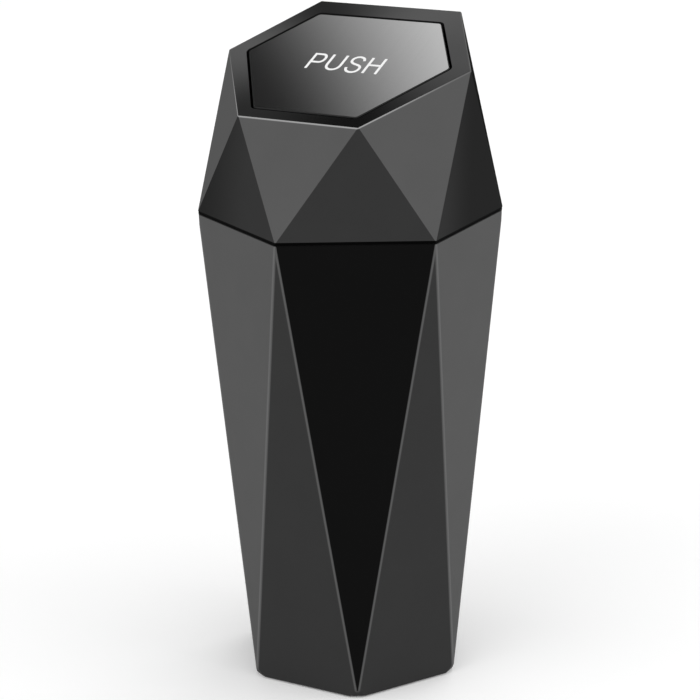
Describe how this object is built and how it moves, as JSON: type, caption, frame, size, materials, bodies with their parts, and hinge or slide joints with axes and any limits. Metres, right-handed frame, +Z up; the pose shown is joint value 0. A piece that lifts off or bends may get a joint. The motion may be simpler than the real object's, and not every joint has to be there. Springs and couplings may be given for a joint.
{
  "type": "car trash bin",
  "caption": "Faceted bin for a car cup holder: tapering body, lift-off head with slanted rim, and a sprung push lid that swings inwards.",
  "frame": {"origin": "centre of the foot pad's underside, on the surface that the bin stands on", "axes": "+Z up through the rim; -Y towards the low edge of the slanted rim, where the lid opens; +X to the right when the low edge is nearest"},
  "size_m": [0.071, 0.0807, 0.1784],
  "materials": {
    "shell_plastic": "satin black and grey facets, glossy rim",
    "inner_plastic": "plain moulded black",
    "lid_metal": "polished gun-metal grey with a bright cut edge",
    "rubber": "matt black",
    "steel": "bright zinc plated"
  },
  "bodies": {
    "body": {"body_shell": "shell_plastic", "foot_pad": "rubber"},
    "head": {"head_shell": "shell_plastic", "collar_ring": "inner_plastic", "collar_seal": "rubber", "collar_screw_1": "steel", "collar_screw_2": "steel", "collar_screw_3": "steel", "collar_screw_4": "steel", "collar_screw_5": "steel", "collar_screw_6": "steel", "hinge_bracket": "inner_plastic", "bracket_screw_left": "steel", "bracket_screw_right": "steel", "hinge_pin": "steel", "pin_clip": "steel", "return_spring_left": "steel", "return_spring_right": "steel", "stop_pad_left": "rubber", "stop_pad_right": "rubber"},
    "lid": {"lid_tray": "inner_plastic", "lid_plate": "lid_metal"}
  },
  "joints": [
    {"name": "head_lift", "type": "slide", "parent": "body", "child": "head", "axis": [0, 0, 1], "range_m": [0, 0.03]},
    {"name": "lid_hinge", "type": "hinge", "parent": "head", "child": "lid", "pos_m": [0, 0.01687, 0.16999], "axis": [1, 0, 0], "range_deg": [0, 50], "stiffness_Nm_per_rad": 0.0326, "springref_deg": -40.11, "deforming": ["return_spring_left", "return_spring_right"]}
  ]
}
